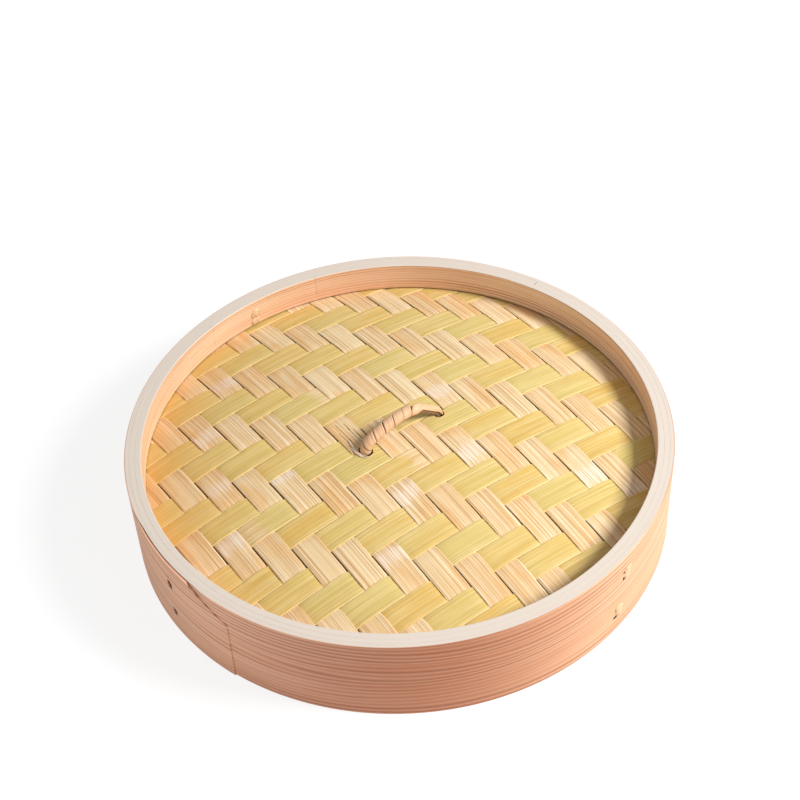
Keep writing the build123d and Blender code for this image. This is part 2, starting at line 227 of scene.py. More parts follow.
def sweep_ply(angles, section, closed, pockets=()):
    """Carry a section round the lid. A pocket is (angle, half width, low, high, depth, outer)
    and is sunk into the outer or the inner face."""
    rows = np.array([section(angle) for angle in angles])
    turn = np.radians(angles)[:, None]
    count, size = rows.shape[:2]
    points = np.stack([rows[..., 0] * np.cos(turn), rows[..., 0] * np.sin(turn), rows[..., 1]], -1)
    points = points.reshape(-1, 3).tolist()
    middle = (rows[..., 0].max() + rows[..., 0].min()) / 2
    sunk = {}
    for a in range(count if closed else count - 1):
        for k in range(size):
            b, m = (a + 1) % count, (k + 1) % size
            radius, level = (rows[a, k] + rows[a, m]) / 2
            for angle, half, low, high, depth, outer in pockets:
                ahead = angles[b] if b else angles[0] + 360
                reach = math.radians(abs((angles[a] + ahead) / 2 - angle)) * radius
                if reach < half and low < level < high and (radius > middle) == outer:
                    sunk[a, k] = -depth if outer else depth
    faces = []
    floor = {}

    def floor_point(a, k, depth):
        if (a, k) not in floor:
            east, north = math.cos(math.radians(angles[a])), math.sin(math.radians(angles[a]))
            radius = rows[a, k, 0] + depth
            floor[a, k] = len(points)
            points.append([radius * east, radius * north, rows[a, k, 1]])
        return floor[a, k]

    for a in range(count if closed else count - 1):
        for k in range(size):
            b, m = (a + 1) % count, (k + 1) % size
            corners = [(a, k), (b, k), (b, m), (a, m)]
            flat = [i * size + j for i, j in corners]
            if (a, k) not in sunk:
                faces.append(flat)
                continue
            low = [floor_point(i, j, sunk[a, k]) for i, j in corners]
            faces.append(low)
            beside = [(a, k - 1), (a + 1, k), (a, k + 1), (a - 1, k)]
            for edge, other in enumerate(beside):
                if other not in sunk:
                    nxt = (edge + 1) % 4
                    faces.append([flat[edge], flat[nxt], low[nxt], low[edge]])
    if not closed:
        faces.append(list(range(size)))
        faces.append(list(range((count - 1) * size, count * size)))
    return points, faces


def core_section(angle):
    """The core is thinner at its foot, where the steamer's edge slips in."""
    outline = ply_section(core_outside, core_inside, 0, rim_height - arris_drop, core_levels)
    cut_back = socket_inside - core_inside
    return [
        (r + cut_back, z) if z < socket_depth and r < core_inside + foot_reach else (r, z)
        for r, z in outline
    ]


core_wood = bent_wood(
    "core_wood", (232, 196, 152), (222, 182, 138), (186, 138, 98), (218, 206, 193), 1.0, 0.5, 800
)
half_seam = math.degrees(seam_gap / 2 / core_outside)
core_angles = ring_angles(core_seam_angle + half_seam, core_seam_angle + 360 - half_seam)
core_points, core_faces = sweep_ply(core_angles, core_section, False)
make_piece("core_ply", core_points, core_faces, core_wood, "lid", "core_hoop")

# Lining. Two thin hoops of orange softwood stand one above the other inside the core and pinch
# the edge of the woven panel. The upper one is closed by a short splice with two butt seams.

lining_outside = 98.57
lining_inside = 96.2
upper_low = 25.0
lower_high = 22.8
lower_seam_angle = 150.0
splice_from = 75.5
splice_to = 105.5
lining_seam = 0.08
lining_ease = 0.3
stitch_levels = {"upper": 28.6, "lower": 10.7}
stitch_angles = {"side_stitch": -76.0, "lap_stitch": 182.4, "splice_stitch": 92.5}
slit_half = 1.25
slit_reach = 2.4
slit_tall = 0.95
lining_slit_depth = 1.2
edge_waver = 0.01


def slit_marks(angle, radius):
    """Angles of the two upright sides of a slit."""
    half = math.degrees(slit_half / radius)
    return [angle - half, angle + half]


def slit_edges(level):
    """Heights of the edges of the two slits that a stitch is laced through."""
    return [level + s * slit_reach + t * slit_tall / 2 for s in (-1, 1) for t in (-1, 1)]


def slits(angle, level, depth, outer):
    """The two slits of a stitch, as pockets in one face of a hoop."""
    low_a, low_b, high_a, high_b = slit_edges(level)
    span = slit_half + 0.01
    return [(angle, span, low_a, low_b, depth, outer), (angle, span, high_a, high_b, depth, outer)]


def uneven(angle, first, second):
    """A slow waver round the rim, from -1 to 1, as bent wood has."""
    turn = math.radians(angle)
    return 0.6 * math.sin(3 * turn + first) + 0.4 * math.sin(7 * turn + second)


def lining_section(low, high, levels):
    """Section of a lining hoop whose upper edge wavers a little."""
    return lambda angle: ply_section(
        lining_outside,
        lining_inside,
        low,
        high - arris_drop - edge_waver * uneven(angle, 1.0, 2.2),
        levels,
        inner_ease=lining_ease,
    )


# The lining's stretches are painted light and shade: paler on the left, where the light falls on
# its inner face, and darker at the back right, in shade
lining_wood = bent_wood(
    "lining_wood",
    (238, 206, 172),
    (232, 188, 152),
    (168, 100, 66),
    (218, 206, 193),
    23.0,
    0.66,
    700,
    shaded_hole_radius=(0.0965, 0.0968),
    board_tints_and_painted_light=(((-0.94, 0.34, 0), 0.6, (244, 212, 170)), ((0.42, 0.91, 0), 0.45, (214, 146, 108))),
)
upper_levels = [27, 30.6, 34] + slit_edges(stitch_levels["upper"])
half_seam = math.degrees(lining_seam / 2 / lining_outside)
upper_slits = []
upper_marks = []
for angle in (stitch_angles["side_stitch"] + 360, stitch_angles["lap_stitch"]):
    upper_slits += slits(angle, stitch_levels["upper"], lining_slit_depth, False)
    upper_marks += slit_marks(angle, lining_inside)
upper_angles = ring_angles(splice_to + half_seam, splice_from + 360 - half_seam, upper_marks)
upper_points, upper_faces = sweep_ply(
    upper_angles, lining_section(upper_low, rim_height, upper_levels), False, upper_slits
)
make_piece(
    "upper_lining", upper_points, upper_faces, lining_wood, "lid", "upper_inner_hoop"
)

splice_angle = stitch_angles["splice_stitch"]
splice_angles = ring_angles(
    splice_from + half_seam, splice_to - half_seam, slit_marks(splice_angle, lining_inside)
)
splice_points, splice_faces = sweep_ply(
    splice_angles,
    lining_section(upper_low, rim_height, upper_levels),
    False,
    slits(splice_angle, stitch_levels["upper"], lining_slit_depth, False),
)
make_piece(
    "lining_splice", splice_points, splice_faces, lining_wood, "lid", "upper_hoop_splice"
)

lower_levels = [8, 15, 19] + slit_edges(stitch_levels["lower"])
lower_slits = []
lower_marks = []
for angle in (stitch_angles["side_stitch"] + 360, stitch_angles["lap_stitch"], splice_angle + 360):
    lower_slits += slits(angle, stitch_levels["lower"], lining_slit_depth, False)
    lower_marks += slit_marks(angle, lining_inside)
lower_angles = ring_angles(
    lower_seam_angle + half_seam, lower_seam_angle + 360 - half_seam, lower_marks
)
lower_points, lower_faces = sweep_ply(
    lower_angles, lining_section(socket_depth, lower_high, lower_levels), False, lower_slits
)
make_piece(
    "lower_lining", lower_points, lower_faces, lining_wood, "lid", "lower_inner_hoop"
)

# Woven panel. Twenty smooth yellow strips of bamboo with the skin scraped off cross twenty
# grained tan strips, two over and two under. Each bends where it dives under its neighbour,
# and the edge of a strip is pushed up or down where another passes beside it.

strip_count = 20
strip_pitch = 10.26
strip_thickness = 0.6
yellow_half_width = 5.03
tan_half_width = 4.84
strip_crown = 0.07
strip_edge_ease = 0.16
joint_ridge = 0.06
strip_step = 1.15
fine_step = 0.45
level_offset = 0.33
dive_length = 3.4
push_length = 2.2
pinch_from = 90
pinch_length = 6
dome_crown = 34.8
dome_height = 10.6
dome_radius = 96.0
trim_radius = 98.2
trim_margin = 0.7
handle_y = -0.8
near_foot_x = -15.4
far_foot_x = 17.43
foot_holes = (
    (near_foot_x, handle_y, 2.45, 2.95),
    (far_foot_x + 0.3, handle_y, 2.15, 2.65),
    (far_foot_x + 1.6, handle_y + 1.3, 1.7, 1.5),
)
yellow_joints = {9: (-2.3,), 10: (-68.2,), 14: (-11.3,)}
tan_joints = {
    3: (-3.9,),
    4: (21.2,),
    5: (47.0,),
    6: (9.7,),
    7: (69.0, -45.9),
    9: (-27.4,),
    12: (-24.4,),
    13: (8.8,),
    15: (-56.4,),
    16: (-70.5,),
}
split_half = 0.17
splits = ((-18.3, 1.5, 15.0), (-16.9, 3.5, 20.0), (-14.2, 1.0, 17.0), (-12.8, 4.0, 12.0))
frays = (
    ((-17.8, 5.5), (-18.5, 1.0), (-18.1, -2.0), (-16.2, -4.6)),
    ((-18.7, 4.0), (-19.1, 0.5), (-18.6, -2.4), (-17.2, -4.4)),
    ((-17.4, 7.5), (-18.1, 5.0), (-18.3, 3.0), (-18.2, 1.0)),
    ((-13.1, 4.8), (-12.7, 3.0), (-12.6, 1.6), (-12.7, 0.2)),
)
chance = np.random.default_rng(205)


def strip_middle(number):
    """Middle line of a strip, from the middle of the panel."""
    return (number - (strip_count - 1) / 2) * strip_pitch


def dome(x, y):
    """Middle surface of the domed panel."""
    return dome_crown - dome_height * (x**2 + y**2) / dome_radius**2


def soft_step(value):
    """Rise softly from 0 to 1."""
    value = np.clip(value, 0, 1)
    return value * value * (3 - 2 * value)


def yellow_on_top(column, row):
    """1 where the yellow strip of a row lies over the tan strip of a column, -1 where under."""
    return np.where((strip_count - 1 - row - column) % 4 >= 2, 1, -1)


def weave_level(x, y, is_yellow):
    """How far a strip stands above or below the middle surface at a place."""
    across, along = x / strip_pitch + strip_count / 2, y / strip_pitch + strip_count / 2
    column, row = np.floor(across).astype(int), np.floor(along).astype(int)
    side = yellow_on_top(column, row)
    near_x = (across - column) * strip_pitch
    far_x = strip_pitch - near_x
    near_y = (along - row) * strip_pitch
    far_y = strip_pitch - near_y

    def dive(distance):
        return np.clip(1 - distance / dive_length, 0, 1) ** 2

    yellow_dive = dive(near_x) * (yellow_on_top(column - 1, row) != side)
    yellow_dive = yellow_dive + dive(far_x) * (yellow_on_top(column + 1, row) != side)
    tan_dive = dive(near_y) * (yellow_on_top(column, row - 1) != side)
    tan_dive = tan_dive + dive(far_y) * (yellow_on_top(column, row + 1) != side)
    if is_yellow:
        push = tan_dive * soft_step(np.minimum(near_x, far_x) / push_length)
        level = side * (1 - yellow_dive + push)
    else:
        push = yellow_dive * soft_step(np.minimum(near_y, far_y) / push_length)
        level = -side * (1 - tan_dive + push)
    pinched = soft_step((np.hypot(x, y) - pinch_from) / pinch_length)
    return level_offset * level * (1 - 0.55 * pinched)


def plate(upper, lower, keep):
    """A thin plate between two grids of points, with a wall wherever a cell is left out."""
    rows, columns = upper.shape[:2]
    index = np.arange(rows * columns).reshape(rows, columns)
    under = rows * columns
    corner = [index[:-1, :-1], index[1:, :-1], index[1:, 1:], index[:-1, 1:]]
    padded = np.pad(keep, 1)
    beside = [padded[1:-1, :-2], padded[2:, 1:-1], padded[1:-1, 2:], padded[:-2, 1:-1]]
    faces = [np.stack([c[keep] for c in corner], -1)]
    faces.append(np.stack([c[keep] + under for c in reversed(corner)], -1))
    for edge in range(4):
        start, end = corner[edge], corner[(edge + 1) % 4]
        open_side = keep & ~beside[edge]
        first, last = start[open_side], end[open_side]
        faces.append(np.stack([last, first, first + under, last + under], -1))
    points = np.concatenate([upper.reshape(-1, 3), lower.reshape(-1, 3)])
    return points, np.concatenate(faces).tolist()


def tidy_points(points, faces):
    """Leave out the points that no face uses, and give which are left."""
    used = np.unique(np.array(faces).ravel())
    place = np.zeros(len(points), int)
    place[used] = np.arange(len(used))
    return points[used], place[np.array(faces)].tolist(), used


def set_values(piece, name, kind, values):
    """Keep a value for every point of a piece, for its material to read."""
    store = piece.data.attributes.new(name, kind, "POINT")
    field = "value" if kind == "FLOAT" else "vector"
    store.data.foreach_set(field, np.asarray(values, np.float32).ravel())


def strip_material(name, pales, edge, line, line_share, knuckle, gloss, stain=0.0, shade_in_seams=False):
    """Split bamboo: long fibres, a little different on every strip, pale at its cut edges, with
    a ragged whitish band where a joint of the cane was planed down. It is browner in stains. By
    the rim at the back left it carries a painted orange reflection of the rim, and it is darkened
    by painted shade where it lies in shade: on a strip, in the seams between the strips above it."""
    material = bpy.data.materials.new(name)
    material.use_nodes = True
    tree = material.node_tree
    skin = tree.nodes["Principled BSDF"]
    lie = add(tree, "Attribute", attribute_name="lie")["Vector"]
    band = add(tree, "Attribute", attribute_name="knuckle")["Fac"]

    def drawn(along, across, shift):
        inputs = {0: lie, 1: (along, across, 61.7)}
        scaled = add(tree, "VectorMath", inputs, operation="MULTIPLY")[0]
        return add(tree, "VectorMath", {0: scaled, 1: (shift, shift, shift)}, operation="ADD")[0]

    whole = fade(tree, grain(tree, drawn(6, 15, 3.1), 1.0), 0.36, 0.64)
    patches = fade(tree, grain(tree, drawn(40, 480, 9.4), 2.0), 0.38, 0.64)
    fibres = grain(tree, drawn(14, 2900, 17.3), 2.0, 0.6)
    threads = grain(tree, drawn(9, 2100, 29.9), 1.0)
    base = mix(tree, whole, tone(*pales[0]), tone(*pales[1]))
    base = mix(tree, sum_of(tree, patches, 0.6, "MULTIPLY"), base, tone(*pales[2]))
    blotches = fade(tree, grain(tree, drawn(42, 90, 51.0), 1.0), 0.54, 0.68)
    stained = sum_of(tree, blotches, stain, "MULTIPLY")
    base = mix(tree, stained, base, tone(224, 164, 88))
    bright = sum_of(tree, fade(tree, fibres, 0.44, 0.36), line_share * 1.5, "MULTIPLY")
    base = mix(tree, bright, base, tone(*pales[3]))
    dark = sum_of(tree, fade(tree, fibres, 0.52, 0.66), line_share * 0.7, "MULTIPLY")
    base = mix(tree, dark, base, tone(*line))
    deep = sum_of(tree, fade(tree, threads, 0.56, 0.64), line_share, "MULTIPLY")
    base = mix(tree, deep, base, tone(*line))
    across = add(tree, "SeparateXYZ", {0: lie})[1]
    off_middle = sum_of(tree, across, 0.0, "ABSOLUTE")
    ragged = add(tree, "Math", {0: fibres, 1: 0.0006, 2: off_middle}, operation="MULTIPLY_ADD")[0]
    rim = sum_of(tree, fade(tree, ragged, 0.0049, 0.0053), 0.5, "MULTIPLY")
    base = mix(tree, rim, base, tone(*edge))
    torn = sum_of(tree, grain(tree, drawn(110, 1500, 71.0), 3.0), 2.4, "MULTIPLY")
    white = sum_of(tree, fade(tree, sum_of(tree, band, torn), 1.5, 2.1), 0.75, "MULTIPLY")
    wrinkled = mix(tree, fade(tree, fibres, 0.40, 0.62), tone(*knuckle[0]), tone(*knuckle[1]))
    base = mix(tree, white, base, wrinkled)
    # Painted reflection: towards the rim at the back left the bamboo is tinted orange, as light
    # off the rim would tint it
    place = add(tree, "TexCoord")["Object"]
    inputs = {0: place, 1: (-0.86, 0.5, 0)}
    back_left = add(tree, "VectorMath", inputs, operation="DOT_PRODUCT")["Value"]
    painted_rim_reflection = sum_of(tree, fade(tree, back_left, 0.045, 0.095), 0.3, "MULTIPLY")
    base = mix(tree, painted_rim_reflection, base, tone(222, 160, 82))
    # Painted shade: a yellow strip is darkened where it lies under the tan strips, near the seams
    # between them; the handle core is darkened all along
    painted_shade = add(tree, "Attribute", attribute_name="painted_shade")["Fac"]
    if shade_in_seams:
        east = add(tree, "SeparateXYZ", {0: place})[0]
        sideways = sum_of(tree, east, 1 / (strip_pitch * mm), "MULTIPLY")
        across_seam = sum_of(tree, sum_of(tree, sum_of(tree, sideways, 0.5), 0.0, "FRACT"), -0.5)
        off_seam = sum_of(tree, across_seam, 0.0, "ABSOLUTE")
        painted_shade = sum_of(tree, painted_shade, fade(tree, off_seam, 0.075, 0.045), "MULTIPLY")
    base = mix(tree, sum_of(tree, painted_shade, 0.85, "MULTIPLY"), base, tone(84, 56, 30))
    tree.links.new(base, skin.inputs["Base Color"])
    skin.inputs["Roughness"].default_value = gloss
    skin.inputs["Specular IOR Level"].default_value = 0.18
    furrows = sum_of(tree, deep, -0.5, "MULTIPLY")
    relief = sum_of(tree, sum_of(tree, fibres, -0.7, "MULTIPLY"), furrows)
    bump = add(tree, "Bump", {"Height": relief, "Strength": 0.4, "Distance": 0.0002})[0]
    tree.links.new(bump, skin.inputs["Normal"])
    return material


yellow_bamboo = strip_material(
    "yellow_bamboo",
    ((212, 189, 116), (218, 180, 100), (226, 201, 136), (240, 222, 174)),
    (236, 214, 160),
    (172, 134, 66),
    0.26,
    ((240, 214, 176), (214, 172, 122)),
    0.4,
    shade_in_seams=True,
)
tan_bamboo = strip_material(
    "tan_bamboo",
    ((232, 206, 160), (225, 188, 136), (234, 209, 166), (247, 233, 206)),
    (238, 214, 172),
    (176, 124, 74),
    0.5,
    ((248, 236, 220), (216, 180, 146)),
    0.55,
    stain=0.4,
)


def strip_points(number, is_yellow):
    """Both faces of a strip as grids, with where each point lies along and across it."""
    middle = strip_middle(number)
    half_width = (yellow_half_width if is_yellow else tan_half_width) + chance.uniform(-0.05, 0.04)
    drift = chance.uniform(-0.05, 0.05)
    wave = chance.uniform(40, 90)
    start = chance.uniform(0, 6.28)
    by_handle = is_yellow and number in (9, 10) or not is_yellow and number in (8, 11)
    shares = np.array([-1, -0.95, -0.84, -0.5, 0, 0.5, 0.84, 0.95, 1])
    step = strip_step
    if by_handle:
        shares = np.sort(np.concatenate([np.linspace(-0.9, 0.9, 37), [-1, -0.95, 0.95, 1]]))
        step = fine_step
    outer_edge = trim_radius - trim_margin
    sideways = np.clip(middle + shares * half_width, -outer_edge, outer_edge)
    ends = np.sqrt(trim_radius**2 - sideways**2)
    count = int(2 * ends.max() / step) + 1
    along = np.linspace(-1, 1, count)[:, None] * ends[None, :]
    across = sideways[None, :] + drift * np.sin(along / wave * 6.28 + start)
    across = np.clip(across, -outer_edge, outer_edge)
    x, y = (along, across) if is_yellow else (across, along)
    woven = weave_level(x, y, is_yellow)
    painted_shade = np.clip(-woven / level_offset, 0, 1) ** 2
    level = dome(x, y) + woven
    crown = strip_crown * (1 - shares**2)[None, :]
    eased = strip_edge_ease * np.clip((np.abs(shares) - 0.9) / 0.1, 0, 1)[None, :] ** 2
    lean = chance.uniform(-0.05, 0.05) * shares[None, :]
    knuckle = np.zeros_like(along)
    for place in (yellow_joints if is_yellow else tan_joints).get(number + 1, ()):
        slant = chance.uniform(-0.15, 0.15) * (across - middle)
        knuckle += np.exp(-(((along - place - slant) / chance.uniform(4.0, 5.5)) ** 2))
    ridge = joint_ridge * np.clip(knuckle, 0, 1)
    top = level + strip_thickness / 2 + crown + ridge + lean - eased
    bottom = level - strip_thickness / 2 + crown + lean + 0.4 * eased
    upper = np.stack([x, y, top], -1)
    lower = np.stack([x, y, bottom], -1)
    cell_x = (x[:-1, :-1] + x[1:, 1:]) / 2
    cell_y = (y[:-1, :-1] + y[1:, 1:]) / 2
    keep = np.ones(cell_x.shape, bool)
    for hole_x, hole_y, half_x, half_y in foot_holes:
        off_x = np.abs(cell_x - hole_x) / half_x
        off_y = np.abs(cell_y - hole_y) / half_y
        keep &= off_x**2.6 + off_y**2.6 > 1
    if not is_yellow and number == 8:
        for split_x, low, high in splits:
            gone = np.clip((cell_y - low) / (high - low), 0, 1)
            open_width = split_half * np.sin(np.pi * gone) ** 0.5
            keep &= np.abs(cell_x - split_x - 0.02 * (cell_y - low)) > open_width
    return upper, lower, keep, along, across - middle, knuckle, painted_shade


def fray_points(corners):
    """A torn fibre that lifts off the strip and curls round the near foot of the handle."""
    hair = []
    corners = np.array(corners)
    for share in np.linspace(0, 1, 13):
        x, y = (np.interp(3 * share, range(4), corners[:, axis]) for axis in (0, 1))
        lift = strip_thickness / 2 + level_offset + 0.12 + 0.45 * math.sin(math.pi * 0.85 * share)
        middle = np.array([x, y, dome(x, y) + lift])
        half = 0.36 * (1 - 0.5 * share)
        for side, up in ((-1, 0), (0, 0.16), (1, 0), (0, -0.1)):
            hair.append(middle + np.array([side * half, 0, up]))
    faces = []
    for row in range(12):
        for side in range(4):
            low, nxt = 4 * row, (side + 1) % 4
            faces.append([low + side, low + nxt, low + 4 + nxt, low + 4 + side])
    return np.array(hair), faces + [[0, 1, 2, 3], [48, 49, 50, 51]]


for kind, is_yellow, material, slot in (
    ("yellow", True, yellow_bamboo, "smooth_bamboo"),
    ("tan", False, tan_bamboo, "grained_bamboo"),
):
    for number in range(strip_count):
        upper, lower, keep, along, across, knuckle, painted_shade = strip_points(number, is_yellow)
        points, faces = plate(upper, lower, keep)
        points, faces, used = tidy_points(points, faces)
        name = f"{kind}_strip_{number + 1:02d}"
        seed = chance.uniform(0, 40)
        lie = np.stack([along * mm, across * mm, np.full_like(along, seed)], -1).reshape(-1, 3)
        lie = np.concatenate([lie, lie])[used]
        knuckle = np.concatenate([knuckle.ravel(), knuckle.ravel()])[used]
        painted_shade = np.concatenate([painted_shade.ravel(), np.zeros(painted_shade.size)])[used]
        if name == "tan_strip_09":
            for fray in frays:
                hair, hair_faces = fray_points(fray)
                faces += [[index + len(points) for index in face] for face in hair_faces]
                points = np.concatenate([points, hair])
                lie = np.concatenate([lie, np.full_like(hair, 0.001)])
                knuckle = np.concatenate([knuckle, np.full(len(hair), 1.6)])
                painted_shade = np.concatenate([painted_shade, np.zeros(len(hair))])
        piece_name = f"{kind}_bamboo_{number + 1:02d}"
        strip = make_piece(piece_name, points, faces, material, "lid", name)
        set_values(strip, "lie", "FLOAT_VECTOR", lie)
        set_values(strip, "knuckle", "FLOAT", knuckle)
        if is_yellow:
            set_values(strip, "painted_shade", "FLOAT", painted_shade)

# Outer hoop. The face of the rim, one long ply of reddish softwood bent round the core and
# lapped over its own start. The lapped end stands proud and has its upper corner cut away.

rim_outside = 102.5
outer_inside = 100.67
lap_from = 166.0
lap_to = 199.5
lap_step = 0.4
lap_root = 0.35
lap_corner_angle = 188.7
lap_corner_low = 28.2
lap_thin_in = 7
lap_thin_out = 8
lap_thinning = 0.75
lap_lift = 0.4
outer_ease = 0.3
outer_slit_depth = 1.3
lap_cuts = (
    (-0.4, 1.1, 29.4, 29.8),
    (-0.35, 1.0, 26.8, 27.5),
    (-0.1, 1.5, 24.4, 26.8),
    (0.3, 1.1, 23.5, 24.4),
    (-0.3, 0.9, 11.5, 12.0),
    (0.0, 1.35, 9.5, 11.5),
    (0.3, 0.9, 8.9, 9.5),
)

# The outer face is tinted darker at the front, as the board's own darker tone, and a little paler
# at the left and at the right
outer_wood = bent_wood(
    "outer_wood",
    (232, 182, 146),
    (222, 162, 124),
    (136, 78, 52),
    (218, 205, 192),
    47.0,
    0.5,
    500,
    shaded_hole_radius=(0.1023, 0.1020),
    board_tints_and_painted_light=(
        ((-0.545, -0.839, 0), 0.68, (158, 82, 48)),
        ((-0.98, -0.17, 0), 0.2, (250, 204, 180)),
        ((0.34, -0.94, 0), 0.35, (234, 186, 142)),
    ),
    bare=0.1023,
)
outer_levels = [5, 15, 19, 23.5, 34]
side_holes = (
    (0.7, 28.4, 29.7, 0.8),
    (0.8, 24.7, 26.6, 1.1),
    (-2.5, 10.2, 11.5, 0.8),
    (-3.1, 6.7, 8.4, 1.1),
)
lap_angle = stitch_angles["lap_stitch"]
lap_marks = [
    lap_angle + math.degrees((along + side * half) / rim_outside)
    for along, half, low, high in lap_cuts
    for side in (-1, 1)
]


def lap_holes(depth, spare):
    """The two slanting holes at the lap and the slit above them, as pockets in the face."""
    return [
        (lap_angle + math.degrees(along / rim_outside), half + spare, low, high, depth, True)
        for along, half, low, high in lap_cuts
    ]


outer_pockets = lap_holes(0.85, 0.02)
outer_marks = lap_marks + slit_marks(splice_angle, rim_outside)
for level in stitch_levels.values():
    outer_pockets += slits(splice_angle, level, outer_slit_depth, True)
    outer_levels += slit_edges(level)
for along, half, low, high in lap_cuts:
    outer_levels += [low, high]
for along, low, high, half in side_holes:
    angle = stitch_angles["side_stitch"] + 360 + math.degrees(along / rim_outside)
    half_angle = math.degrees(half / rim_outside)
    outer_pockets.append((angle, half + 0.01, low, high, outer_slit_depth, True))
    outer_marks += [angle - half_angle, angle + half_angle]
    outer_levels += [low, high]
outer_levels = sorted(set(outer_levels))


def lap_gap(angle):
    """How much the hoop is thinned, from 0 to 1, under the end that laps over it."""
    thinned = soft_step((angle - lap_from) / lap_thin_in)
    return float(thinned * (1 - soft_step((angle - lap_corner_angle) / lap_thin_out)))


def outer_section(angle):
    """The face wavers inwards by a few hundredths of a millimetre."""
    waver = 0.04 + 0.04 * uneven(angle, 0.4, 5.1) + lap_thinning * lap_gap(angle)
    top = rim_height - arris_drop - edge_waver * uneven(angle, 2.0, 0.7)
    outside = rim_outside - waver
    return ply_section(outside, outer_inside, 0, top, outer_levels, outer_ease=outer_ease)


outer_angles = ring_angles(0, 360, outer_marks)[:-1]
outer_points, outer_faces = sweep_ply(outer_angles, outer_section, True, outer_pockets)


def lap_section(angle):
    """The lapped end rises slowly off the hoop; past the corner its top slopes down."""
    share = (angle - lap_from) / (lap_to - lap_from)
    corner = max(0, (angle - lap_corner_angle) / (lap_to - lap_corner_angle))
    top = rim_height - corner * (rim_height - lap_corner_low)
    outside = rim_outside + lap_step * share
    inside = rim_outside - lap_root - 0.2 * lap_gap(angle)
    high = rim_height - lap_lift
    outline = ply_section(outside, inside, 0.05, high, outer_levels, outer_ease=outer_ease / 2)
    return [(r, z * top / rim_height) if corner else (r, z) for r, z in outline]


lap_points, lap_faces = sweep_ply(
    ring_angles(lap_from, lap_to, lap_marks), lap_section, False, lap_holes(1.55, 0.01)
)
start = len(outer_points)
outer_points += lap_points
outer_faces += [[index + start for index in face] for face in lap_faces]
make_piece("outer_ply", outer_points, outer_faces, outer_wood, "lid", "outer_hoop")

# Stitches. Flat cane is laced through the three plies at three places, two stitches at each,
# and swells into two rounded lobes where it comes out. Those at the lap are drawn in flat.

lobe_thickness = 0.68
lobe_sides = 16
lobe_rings = 26
lace_half_width = 0.9
lace_half_height = 0.3

cane = bpy.data.materials.new("pale_cane")
cane.use_nodes = True
cane_tree = cane.node_tree
cane_skin = cane_tree.nodes["Principled BSDF"]
cane_place = add(cane_tree, "TexCoord")["Object"]
cane_drawn = {0: cane_place, 1: (2600, 2600, 300)}
cane_lines = add(cane_tree, "VectorMath", cane_drawn, operation="MULTIPLY")[0]
cane_fibre = grain(cane_tree, cane_lines, 3.0, 0.6)
cane_streaks = fade(cane_tree, cane_fibre, 0.35, 0.7)
cane_colour = mix(cane_tree, cane_streaks, tone(228, 196, 156), tone(190, 144, 100))
cane_tree.links.new(cane_colour, cane_skin.inputs["Base Color"])
cane_skin.inputs["Roughness"].default_value = 0.5
cane_bump = add(cane_tree, "Bump", {"Height": cane_fibre, "Strength": 0.3, "Distance": 0.0002})[0]
cane_tree.links.new(cane_bump, cane_skin.inputs["Normal"])


def stitch_lobes(ends, half_width):
    """One stitch in its own plane: across the rim, along it, and up. Each end is (radius, out or
    in, half height, lean, shift along, shift up): two lobes set a little aslant."""
    points = []
    faces = []
    sides, rings = lobe_sides, lobe_rings
    for face_radius, direction, half_height, lean, shift_along, shift_up in ends:
        start = len(points)
        for ring in range(rings + 1):
            share = -1 + 2 * ring / rings
            height = share * half_height + shift_up
            bulge = math.sqrt(max(1 - share**6, 0.02))
            waist = 1 - 0.85 * math.exp(-(((share + 0.08) / 0.18) ** 2))
            wide = half_width * bulge * (0.6 + 0.4 * waist) * (1 + 0.12 * share)
            thick = lobe_thickness * bulge * (0.35 + 0.65 * waist)
            middle = shift_along + lean * share + 0.12 * math.sin(5 * share)
            for side in range(sides):
                turn = 2 * math.pi * side / sides
                out = math.cos(turn)
                depth = thick * out * (1 - 0.12 * math.sin(3 * turn)) if out > 0 else 0.5 * out
                radius = face_radius + direction * depth
                points.append((radius, middle + wide * math.sin(turn), height))
        for ring in range(rings):
            for side in range(sides):
                nxt = (side + 1) % sides
                low, high = start + ring * sides, start + (ring + 1) * sides
                faces.append([low + side, low + nxt, high + nxt, high + side])
        faces.append([start + side for side in range(sides)])
        faces.append([start + rings * sides + side for side in range(sides)])
    inside, outside = sorted(end[0] for end in ends)
    for height in (-slit_reach, slit_reach):
        start = len(points)
        for radius in (inside - 0.1, outside - 0.3):
            for wide, tall in ((-1, -1), (1, -1), (1, 1), (-1, 1)):
                points.append((radius, wide * lace_half_width, height + tall * lace_half_height))
        for side in range(4):
            nxt = (side + 1) % 4
            faces.append([start + side, start + nxt, start + 4 + nxt, start + 4 + side])
        faces += [[start + k for k in range(4)], [start + 4 + k for k in range(4)]]
    return points, faces


